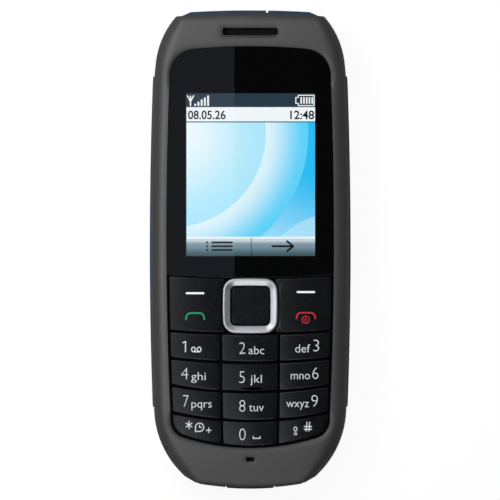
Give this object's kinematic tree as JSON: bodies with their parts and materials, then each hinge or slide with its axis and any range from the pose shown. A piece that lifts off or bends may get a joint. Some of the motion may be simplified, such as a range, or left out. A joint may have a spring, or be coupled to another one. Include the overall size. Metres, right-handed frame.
{
  "type": "feature phone",
  "caption": "Candybar feature phone with colour display, number pad, square navigation ring and clip-fastened back cover.",
  "frame": {"origin": "middle of the outline, on the flat back face", "axes": "+Y along the phone towards the earpiece, +Z out of the screen, +X to the right of the screen"},
  "size_m": [0.045, 0.107, 0.0149],
  "materials": {
    "grey_shell": "satin",
    "blue_cover": "satin",
    "window": "clear",
    "black_print": "gloss",
    "key_caps": "semi gloss",
    "ring_metal": "satin",
    "carrier": "matte",
    "mat_rubber": "matte",
    "film": "satin",
    "cable_film": "satin",
    "lamps": "gloss",
    "panel_glass": "gloss",
    "light_guide": "satin",
    "steel_sheet": "satin",
    "board": "satin",
    "black_plastic": "matte",
    "chassis_plastic": "matte",
    "card": "matte",
    "battery_can": "satin",
    "gold_contacts": "polished"
  },
  "bodies": {
    "back_cover": {"back_cover": "blue_cover"},
    "release_button": {"release_button": "blue_cover"},
    "phone": {"front_cover": "grey_shell", "display_window": "window", "window_mask": "black_print", "display_tray": "steel_sheet", "backlight": "light_guide", "display_panel": "panel_glass", "display_cable": "cable_film", "board_plug": "black_plastic", "key_mat": "mat_rubber", "dome_sheet": "film", "keypad_lamps": "lamps", "main_board": "board", "radio_shield": "steel_sheet", "processor_shield": "steel_sheet", "card_holder": "steel_sheet", "subscriber_card": "card", "battery_connector": "black_plastic", "chassis": "chassis_plastic", "cover_screws": "steel_sheet", "earpiece": "black_plastic", "earpiece_mesh": "steel_sheet", "loudspeaker": "black_plastic", "speaker_gasket": "mat_rubber", "microphone": "black_plastic", "microphone_boot": "mat_rubber", "audio_socket": "black_plastic", "charger_socket": "black_plastic", "charger_pin": "gold_contacts", "torch_lamp": "lamps", "torch_lens": "window", "vibration_motor": "steel_sheet", "antenna": "gold_contacts"},
    "battery": {"battery_pack": "battery_can", "battery_terminals": "gold_contacts"},
    "battery_contacts": {"battery_contacts": "gold_contacts"},
    "navi_carrier": {"navi_carrier": "carrier"},
    "navi_ring": {"navi_ring": "ring_metal"},
    "select_key": {"select_key": "key_caps"},
    "left_function_key": {"left_function_key": "key_caps"},
    "right_function_key": {"right_function_key": "key_caps"},
    "vibration_weight": {"vibration_weight": "steel_sheet"},
    "key_1": {"key_1": "key_caps"},
    "key_2": {"key_2": "key_caps"},
    "key_3": {"key_3": "key_caps"},
    "key_4": {"key_4": "key_caps"},
    "key_5": {"key_5": "key_caps"},
    "key_6": {"key_6": "key_caps"},
    "key_7": {"key_7": "key_caps"},
    "key_8": {"key_8": "key_caps"},
    "key_9": {"key_9": "key_caps"},
    "key_star": {"key_star": "key_caps"},
    "key_0": {"key_0": "key_caps"},
    "key_hash": {"key_hash": "key_caps"}
  },
  "joints": [
    {"name": "cover_lift", "type": "slide", "parent": "back_cover", "child": "phone", "axis": [0, 0, 1], "range_m": [0, 0.02]},
    {"name": "battery_lift", "type": "slide", "parent": "phone", "child": "battery", "axis": [0, 0, -1], "range_m": [0, 0.01]},
    {"name": "release_press", "type": "slide", "parent": "back_cover", "child": "release_button", "axis": [0, 1, 0], "range_m": [0, 0.0005], "stiffness_N_per_m": 1000},
    {"name": "contact_press", "type": "slide", "parent": "phone", "child": "battery_contacts", "axis": [0, 1, 0], "range_m": [0, 0.0005], "stiffness_N_per_m": 800},
    {"name": "navi_up_down", "type": "hinge", "parent": "phone", "child": "navi_carrier", "pos_m": [0, -0.01257, 0.01265], "axis": [1, 0, 0], "range_deg": [-1.5, 1.5], "stiffness_Nm_per_rad": 0.03},
    {"name": "navi_left_right", "type": "hinge", "parent": "navi_carrier", "child": "navi_ring", "pos_m": [0, -0.01257, 0.01265], "axis": [0, 1, 0], "range_deg": [-1.5, 1.5], "stiffness_Nm_per_rad": 0.03},
    {"name": "select_press", "type": "slide", "parent": "phone", "child": "select_key", "axis": [0, 0, -1], "range_m": [0, 0.00025], "stiffness_N_per_m": 1000},
    {"name": "vibration_spin", "type": "hinge", "parent": "phone", "child": "vibration_weight", "pos_m": [0.0032, -0.043, 0.004], "axis": [1, 0, 0], "continuous": true},
    {"name": "left_function_rock", "type": "hinge", "parent": "phone", "child": "left_function_key", "pos_m": [-0.0124, -0.01228, 0.01265], "axis": [1, 0, 0], "range_deg": [-1.6, 1.6], "stiffness_Nm_per_rad": 0.03},
    {"name": "right_function_rock", "type": "hinge", "parent": "phone", "child": "right_function_key", "pos_m": [0.0124, -0.01228, 0.01265], "axis": [1, 0, 0], "range_deg": [-1.6, 1.6], "stiffness_Nm_per_rad": 0.03},
    {"name": "key_1_press", "type": "slide", "parent": "phone", "child": "key_1", "axis": [0, 0, -1], "range_m": [0, 0.00025], "stiffness_N_per_m": 1000},
    {"name": "key_2_press", "type": "slide", "parent": "phone", "child": "key_2", "axis": [0, 0, -1], "range_m": [0, 0.00025], "stiffness_N_per_m": 1000},
    {"name": "key_3_press", "type": "slide", "parent": "phone", "child": "key_3", "axis": [0, 0, -1], "range_m": [0, 0.00025], "stiffness_N_per_m": 1000},
    {"name": "key_4_press", "type": "slide", "parent": "phone", "child": "key_4", "axis": [0, 0, -1], "range_m": [0, 0.00025], "stiffness_N_per_m": 1000},
    {"name": "key_5_press", "type": "slide", "parent": "phone", "child": "key_5", "axis": [0, 0, -1], "range_m": [0, 0.00025], "stiffness_N_per_m": 1000},
    {"name": "key_6_press", "type": "slide", "parent": "phone", "child": "key_6", "axis": [0, 0, -1], "range_m": [0, 0.00025], "stiffness_N_per_m": 1000},
    {"name": "key_7_press", "type": "slide", "parent": "phone", "child": "key_7", "axis": [0, 0, -1], "range_m": [0, 0.00025], "stiffness_N_per_m": 1000},
    {"name": "key_8_press", "type": "slide", "parent": "phone", "child": "key_8", "axis": [0, 0, -1], "range_m": [0, 0.00025], "stiffness_N_per_m": 1000},
    {"name": "key_9_press", "type": "slide", "parent": "phone", "child": "key_9", "axis": [0, 0, -1], "range_m": [0, 0.00025], "stiffness_N_per_m": 1000},
    {"name": "key_star_press", "type": "slide", "parent": "phone", "child": "key_star", "axis": [0, 0, -1], "range_m": [0, 0.00025], "stiffness_N_per_m": 1000},
    {"name": "key_0_press", "type": "slide", "parent": "phone", "child": "key_0", "axis": [0, 0, -1], "range_m": [0, 0.00025], "stiffness_N_per_m": 1000},
    {"name": "key_hash_press", "type": "slide", "parent": "phone", "child": "key_hash", "axis": [0, 0, -1], "range_m": [0, 0.00025], "stiffness_N_per_m": 1000}
  ],
  "couplings": [
    {"joint": "battery_lift", "follows": "cover_lift", "ratio": 0.5}
  ]
}
